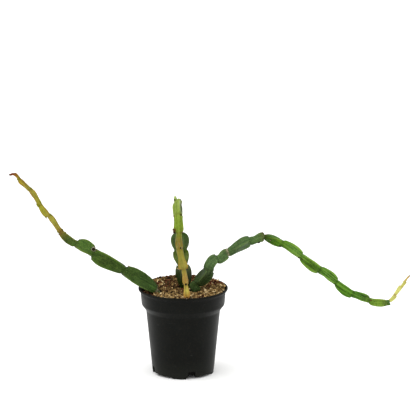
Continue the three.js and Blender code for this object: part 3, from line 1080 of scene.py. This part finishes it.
# %% The pot's wall
POT_STEPS = 192
SKIRT_Z = 2
BASE_RADIUS = 30.9
POT_PROFILE = [
    (0, 3.5), (29.7, 3.5), (29.7, SKIRT_Z), (BASE_RADIUS, SKIRT_Z),
    (37.3, 65), (41.8, 71), (42.7, 82.5), (42.9, 83.4), (43.4, 84.4), (44.3, 85.3), (44.9, 86.1),
    (45, 86.9), (44.9, 87.5), (44.5, 87.9), (44, 88), (43.4, 87.6), (42.8, 86.5),
    (42.1, 84.9), (41.7, 83.6), (41.5, 82.5), (40.6, 71.5), (36.1, 65.5), (29.7, 4.7), (0, 4.7),
]
ROUNDED = {(BASE_RADIUS, SKIRT_Z): 0.3, (37.3, 65): 1.2, (41.8, 71): 1.0, (40.6, 71.5): 0.8,
           (36.1, 65.5): 0.8, (29.7, 4.7): 1.2}


def turned(profile, steps):
    """A profile turned once round the pot's axis and closed at both poles."""
    shape = bmesh.new()
    corners = [shape.verts.new((radius, 0, z)) for radius, z in profile]
    line = [shape.edges.new(pair) for pair in zip(corners, corners[1:])]
    bmesh.ops.spin(shape, geom=corners + line, cent=(0, 0, 0), axis=(0, 0, 1),
                   angle=2 * math.pi, steps=steps, use_merge=True)
    bmesh.ops.remove_doubles(shape, verts=shape.verts, dist=0.001)
    return shape


def pot_wall():
    """The pot's profile turned round, with its corners rounded."""
    shape = turned(POT_PROFILE, POT_STEPS)
    bmesh.ops.recalc_face_normals(shape, faces=shape.faces)
    for (radius, z), width in ROUNDED.items():
        def on_corner(vertex):
            flat = math.hypot(vertex.co.x, vertex.co.y)
            return abs(flat - radius) < 0.01 and abs(vertex.co.z - z) < 0.01
        ring = [e for e in shape.edges if all(on_corner(v) for v in e.verts)]
        bmesh.ops.bevel(shape, geom=ring, offset=width, offset_type="OFFSET", segments=4,
                        profile=0.5, affect="EDGES", material=-1)
    return shape


# %% The feet, the cross of ribs and the drain slots
FOOT_ANGLES = [-7.6, 82.4, 172.4, 262.4]
FOOT_SPREAD = 26
FOOT_INNER_RADIUS = 24
FOOT_OUTER_RADIUS = 30.6
FOOT_TOP_Z = 4.1
FOOT_STEPS = 12
RIB_WIDTH = 4
RIB_LENGTH = 50
SLOT_AFTER_FOOT = 24
SLOT_WIDTH = 7.5
SLOT_DEPTH = 8
SLOT_TOP_Z = 7.8
SLOT_BELOW = 2
FRONT = -90


def block(shape, middle_at, size, angle):
    """A box of a size in mm, moved out along X and turned about the pot's axis."""
    verts = bmesh.ops.create_cube(shape, size=1)["verts"]
    bmesh.ops.scale(shape, vec=size, verts=verts)
    bmesh.ops.translate(shape, vec=middle_at, verts=verts)
    bmesh.ops.rotate(shape, cent=(0, 0, 0), matrix=Matrix.Rotation(angle, 3, "Z"), verts=verts)


def foot(shape, angle):
    """A rectangle spun through part of a turn, with its two cut ends closed."""
    corners = [shape.verts.new((radius, 0, z)) for radius, z in (
        (FOOT_INNER_RADIUS, 0), (FOOT_OUTER_RADIUS, 0),
        (FOOT_OUTER_RADIUS, FOOT_TOP_Z), (FOOT_INNER_RADIUS, FOOT_TOP_Z))]
    face = shape.faces.new(corners)
    start = angle - math.radians(FOOT_SPREAD / 2)
    bmesh.ops.rotate(shape, cent=(0, 0, 0), matrix=Matrix.Rotation(start, 3, "Z"), verts=corners)
    bmesh.ops.spin(shape, geom=[face], cent=(0, 0, 0), axis=(0, 0, 1),
                   angle=math.radians(FOOT_SPREAD), steps=FOOT_STEPS)


wall = pot_wall()
feet = bmesh.new()
for degrees in FOOT_ANGLES:
    foot(feet, math.radians(degrees + FRONT))
for degrees in FOOT_ANGLES[:2]:
    block(feet, (0, 0, FOOT_TOP_Z / 2), (RIB_LENGTH, RIB_WIDTH, FOOT_TOP_Z),
          math.radians(degrees + FRONT))
bmesh.ops.recalc_face_normals(feet, faces=feet.faces)
cutters = bmesh.new()
for degrees in FOOT_ANGLES:
    block(cutters, (BASE_RADIUS, 0, (SLOT_TOP_Z - SLOT_BELOW) / 2),
          (SLOT_DEPTH, SLOT_WIDTH, SLOT_TOP_Z + SLOT_BELOW),
          math.radians(degrees + SLOT_AFTER_FOOT + FRONT))
for part in (wall, feet, cutters):
    in_metres(part)
print(len(wall.faces), "faces in the wall,", len(feet.faces), "in the feet and ribs")


# %% One pot
def combine(piece, other, how):
    """Joins or cuts a piece with another one, keeps the result and drops the other."""
    step = piece.modifiers.new("combine", "BOOLEAN")
    step.operation = how
    step.object = other
    step.solver = "EXACT"
    step.use_self = how == "UNION"
    seen = piece.evaluated_get(bpy.context.evaluated_depsgraph_get())
    mesh = bpy.data.meshes.new_from_object(seen)
    piece.modifiers.clear()
    piece.data = mesh
    bpy.data.objects.remove(other)


pot = object_from(wall, "pot_moulding")
combine(pot, object_from(cutters, "drain_slots"), "DIFFERENCE")
combine(pot, object_from(feet, "feet_and_ribs"), "UNION")
pot.data.shade_smooth()
pot.data.set_sharp_from_angle(angle=math.radians(35))

# %% [markdown]
# ## The finish of the pot
# Recycled black plastic is a dark charcoal with a satin sheen. It is told from flat black by
# small things: a fine moulded grain, faint rings from the mould, light scuffs, and a little
# tan dust from the compost, most of it on the lip.

# %% The pot's material
pot_material, nodes, shader = new_material("black_moulded_plastic")
here = nodes.place()
level = nodes.up(here)
facing_up = nodes.up(nodes.add("NewGeometry").outputs["Normal"])
cloud = nodes.noised(here, 60, 4)
moulded = nodes.noised(here, 1700, 2, 0.5)
specks = nodes.noised(here, 900, 4, 0.65)
rings = nodes.noised(here, (30, 30, 620), 2)
scuffs = nodes.ranged(nodes.noised(here, (170, 170, 900), 3, 0.6, (0.5, 0.2, 0.3)), 0.66, 0.8)
near_lip = nodes.ranged(level, 0.079, 0.0878)
low_down = nodes.ranged(level, 0.02, 0.002)
dust_on_top = nodes.product(nodes.ranged(facing_up, 0.1, 0.9), near_lip)
dust = nodes.product(nodes.ranged(specks, 0.52, 0.72),
                     nodes.sum(nodes.product(dust_on_top, 0.1), 0.03))
plastic = linear(6, 8, 6)
for share, colour in (
    (nodes.ranged(cloud, 0.3, 0.7), linear(11, 13, 11)), (low_down, linear(23, 25, 21)),
    (nodes.product(scuffs, 0.22), linear(96, 98, 96)), (dust, linear(150, 122, 88)),
):
    plastic = nodes.mixed(share, plastic, colour)
matt = nodes.sum(nodes.ranged(cloud, 0.3, 0.7, 0.36, 0.46), nodes.product(dust, 0.5),
                 nodes.product(scuffs, 0.12), nodes.product(near_lip, 0.2))
height = nodes.sum(nodes.product(moulded, 0.5), nodes.product(rings, 0.5))
nodes.fill(shader, {
    "Base Color": plastic, "Roughness": matt, "Normal": nodes.relief(height, 0.25, 0.0002),
    "Specular IOR Level": 0.07,
})
pot.data.materials.clear()
pot.data.materials.append(pot_material)
seat(pot, "pot_plastic", "pot")

# %% [markdown]
# ## The compost
# The pot holds bark and coir, dry on top. A bumpy plane with a picture of bark would look
# flat from the side, so the bed is only the dark stuff in the gaps, and thousands of loose
# flakes lie on it. Each flake is a cube pressed into a chip, a shard or a fibre.

# %% The bed
BED_RINGS = 48
BED_STEPS = 180
BED_SIDE = [(29.4, 5.0), (35.8, 65.5), (40.3, 71.5), (41.2, 82.5)]
RIM_RADIUS = 45
SOIL_EDGE_Z = 84.6
SOIL_CROWN = 1.6
SOIL_BACK_RISE = 2.4
SOIL_RIGHT_RISE = 2.2
SOIL_LEFT_DROP = 3.6
BED_DEPTH = 1.0
BED_EDGE_DEPTH = 1.2
CRUMB_LENGTH = 2.6
CRUMB_HEIGHT = 0.7


def smooth_share(value, low, high):
    share = min(max((value - low) / (high - low), 0), 1)
    return share * share * (3 - 2 * share)


def soil_top(x, y):
    """The height of the compost: a low crown with waves, heaped to the back and the right."""
    behind = smooth_share(y, 6, 36)
    return (
        SOIL_EDGE_Z
        + SOIL_CROWN * (1 - math.hypot(x, y) / RIM_RADIUS)
        + SOIL_BACK_RISE * behind
        + SOIL_RIGHT_RISE * smooth_share(x, 18, 38) * (1 - 0.5 * behind)
        - SOIL_LEFT_DROP * smooth_share(-x, 26, 38)
        + 0.5 * math.sin(0.31 * x + 0.4) * math.cos(0.27 * y - 0.6)
        + 0.45 * math.sin(0.83 * x - 0.49 * y)
        + 0.35 * math.cos(0.41 * x + 0.92 * y)
    )


rim, side_top = BED_SIDE[-1]
outline = [(0, 5.0)] + BED_SIDE + [(rim - 0.2, 83)]
outline += [(rim * (1 - i / BED_RINGS), 84) for i in range(1, BED_RINGS + 1)]
bed = turned(outline, BED_STEPS)
for vertex in bed.verts:
    x, y = vertex.co.x, vertex.co.y
    if abs(vertex.co.z - side_top) < 0.1:
        vertex.co.z = min(vertex.co.z, soil_top(x, y) - BED_EDGE_DEPTH)
    elif vertex.co.z > side_top:
        crumbs = noise.fractal(Vector((x, y, 0)) / CRUMB_LENGTH, 0.6, 2.0, 4)
        vertex.co.z = soil_top(x, y) - BED_DEPTH + CRUMB_HEIGHT * crumbs
bmesh.ops.recalc_face_normals(bed, faces=bed.faces)
in_metres(bed)
print(len(bed.faces), "faces in the bed")

# %% The stems and the wall that flakes keep clear of
WALL_RADIUS = 41.1
WALL_FLARE = 0.3
WALL_TOP_Z = 82.5
stem_trees = []
for piece in skins:
    shape = bmesh.new()
    shape.from_mesh(piece.data)
    stem_trees.append(BVHTree.FromBMesh(shape))
    shape.free()


def off_the_stems(place, clearance):
    """Whether a place, in millimetres, is at least so far from every stem's skin."""
    return all(tree.find_nearest(place * MM, clearance * MM)[0] is None for tree in stem_trees)


def inside_the_rim(place, reach):
    """Whether a flake of this reach stays within the wall, which leans out at the lip."""
    limit = WALL_RADIUS + WALL_FLARE * max(place.z - WALL_TOP_Z, 0)
    return math.hypot(place.x, place.y) + reach * 0.5 < limit


print("the middle of the bed is free:", off_the_stems(Vector((-10, -20, 85)), 2))

# %% Flakes of bark and coir
# Each sort: how many, length, width and thickness in mm, tilt in degrees, depth it sinks, and
# where it lies: from how far out, and between which angles. The heaped ones stand at the back.
ALL_ROUND = (0, 0, 360)
FLAKES = {
    "crumb": (1020, (0.8, 1.7), (0.7, 1.2), (0.5, 0.9), 60, 0.4, ALL_ROUND),
    "chip": (1200, (2.2, 4.2), (0.8, 1.7), (0.4, 0.9), 42, 0.1, ALL_ROUND),
    "shard": (360, (3.4, 6.0), (1.1, 2.2), (0.5, 1.1), 50, 0.0, ALL_ROUND),
    "fibre": (480, (3.0, 7.0), (0.18, 0.35), (0.15, 0.3), 24, -0.3, ALL_ROUND),
    "heaped": (300, (2.4, 4.8), (1.2, 2.4), (0.5, 1.1), 48, -1.3, (35, -10, 155)),
}
BED_REACH = 41.4
SEED = 4127
TAPER = 0.35
UNEVENNESS = 0.16
CLEARANCE = 0.1
# Where straw and red-brown bark lie thickest: the middle in mm, and how far each way
STRAW_HEAP = (-20, -30, 11, 12)
RED_HEAP = (34, 22, 9, 14)


def heaped(x, y, heap):
    """1 in the middle of a heap, falling smoothly to 0 around it."""
    heap_x, heap_y, reach_x, reach_y = heap
    return math.exp(-(((x - heap_x) / reach_x) ** 2 + ((y - heap_y) / reach_y) ** 2))


def colour_place(x, y, chance):
    """Where a flake's colour stands, from red-brown through dark bark and tan to straw."""
    if chance.random() < 0.65 * heaped(x, y, RED_HEAP):
        return chance.uniform(0, 0.16)
    if chance.random() < 0.6 * heaped(x, y, STRAW_HEAP):
        return chance.uniform(0.68, 0.94)
    patch = 0.2 * noise.noise(Vector((x, y, 0)) / 6) - 0.14 * smooth_share(y, -18, 4)
    patch += 0.14 * smooth_share(x, 12, 30) - 0.25 * smooth_share(-x, 27, 36)
    return min(max(chance.gauss(0.5 + patch, 0.24), 0.17), 1)


def add_flake(shape, layer, place, size, tilt, chance, tone):
    verts = bmesh.ops.create_cube(shape, size=1)["verts"]
    for vertex in verts:
        pinch = 1 - TAPER * chance.random() * (vertex.co.x > 0)
        vertex.co.y *= pinch
        vertex.co += Vector([chance.uniform(-UNEVENNESS, UNEVENNESS) for _ in range(3)])
    turn = (
        Matrix.Rotation(chance.uniform(0, 2 * math.pi), 4, "Z")
        @ Matrix.Rotation(math.radians(chance.uniform(-tilt, tilt)), 4, "X")
        @ Matrix.Rotation(math.radians(chance.uniform(-tilt, tilt)), 4, "Y")
    )
    scale = Matrix.Diagonal((*size, 1))
    bmesh.ops.transform(shape, matrix=Matrix.Translation(place) @ turn @ scale, verts=verts)
    paint(verts, layer, tone)


def handful(kind, count, chance):
    """A small heap of one sort, as a mesh in millimetres: small, because that builds fast."""
    _, lengths, widths, thicknesses, tilt, sink, (inner, start, end) = FLAKES[kind]
    shape = bmesh.new()
    layer = shape.verts.layers.float.new("tone")
    laid = 0
    while laid < count:
        angle = math.radians(chance.uniform(start, end))
        out = math.sqrt(chance.uniform(inner ** 2, BED_REACH ** 2))
        x, y = out * math.cos(angle), out * math.sin(angle)
        size = Vector([chance.uniform(*span) for span in (lengths, widths, thicknesses)])
        place = Vector((x, y, soil_top(x, y) - sink + chance.uniform(-0.8, 0.5)))
        if inside_the_rim(place, size.x) and off_the_stems(place, 0.42 * size.x + CLEARANCE):
            add_flake(shape, layer, place, size, tilt, chance, colour_place(x, y, chance))
            laid += 1
    mesh = bpy.data.meshes.new(kind)
    shape.to_mesh(mesh)
    shape.free()
    return mesh


HANDFUL = 60
chance = random.Random(SEED)
flakes = bmesh.new()
flakes.verts.layers.float.new("tone")
for kind, (count, *_) in FLAKES.items():
    for _ in range(round(count / HANDFUL)):
        heap = handful(kind, HANDFUL, chance)
        flakes.from_mesh(heap)
        bpy.data.meshes.remove(heap)
# A few pale pellets and bits, by their places on the bed and their sizes
PELLETS = [(27.7, -4.1, 1.25), (32.4, -10.9, 1.2), (24, -8, 0.8), (-35.5, -7.1, 1.0),
           (-31.7, -5, 0.9), (7.7, -28, 0.9), (-12, -31, 0.8), (14, 26, 0.8)]
PELLET_LIFT = 0.4
PELLET_BUMPS = 0.3
PELLET_TONE = 0.97
layer = flakes.verts.layers.float["tone"]
for x, y, size in PELLETS:
    place = Vector((x, y, soil_top(x, y) + PELLET_LIFT))
    ball = bmesh.ops.create_icosphere(flakes, subdivisions=2, radius=size)["verts"]
    for vertex in ball:
        vertex.co *= 1 + PELLET_BUMPS * noise.noise(vertex.co * 1.3 + place)
    bmesh.ops.translate(flakes, vec=place, verts=ball)
    paint(ball, layer, PELLET_TONE)
in_metres(flakes)
print(len(flakes.faces), "faces in the flakes")

# %% The compost's materials
flake_material = ramp_material(
    "dry_bark_flakes", "tone",
    [(0, (66, 28, 18)), (0.15, (104, 56, 36)), (0.2, (32, 24, 13)), (0.36, (76, 58, 33)),
     (0.52, (116, 92, 55)), (0.68, (144, 117, 73)), (0.85, (168, 140, 91)), (1, (208, 186, 142))],
    0.85,
)
bed_material, nodes, shader = new_material("dark_compost_painted_shade_below")
here = nodes.place()
crumbs = nodes.noised(here, 900, 5, 0.65)
clods = nodes.noised(here, 260, 3)
earth = nodes.mixed(nodes.ranged(crumbs, 0.3, 0.7), linear(11, 8, 5), linear(44, 31, 19))
earth = nodes.mixed(nodes.ranged(clods, 0.35, 0.65, 0, 0.5), earth, linear(30, 21, 14))
# Painted shade: the compost turns nearly black from 78 mm down to 70 mm and below, inside the pot
earth = nodes.mixed(nodes.ranged(nodes.up(here), 0.078, 0.07), earth, linear(9, 8, 7))
nodes.fill(shader, {
    "Base Color": earth, "Normal": nodes.relief(crumbs, 0.8, 0.0008), "Roughness": 0.95,
    "Specular IOR Level": 0.15,
})
seat(object_from(bed, "compost_bed", bed_material), "bark_compost", "soil")
flake_piece = object_from(flakes, "bark_flakes", flake_material)
flake_piece.data.shade_flat()
seat(flake_piece, "bark_compost")
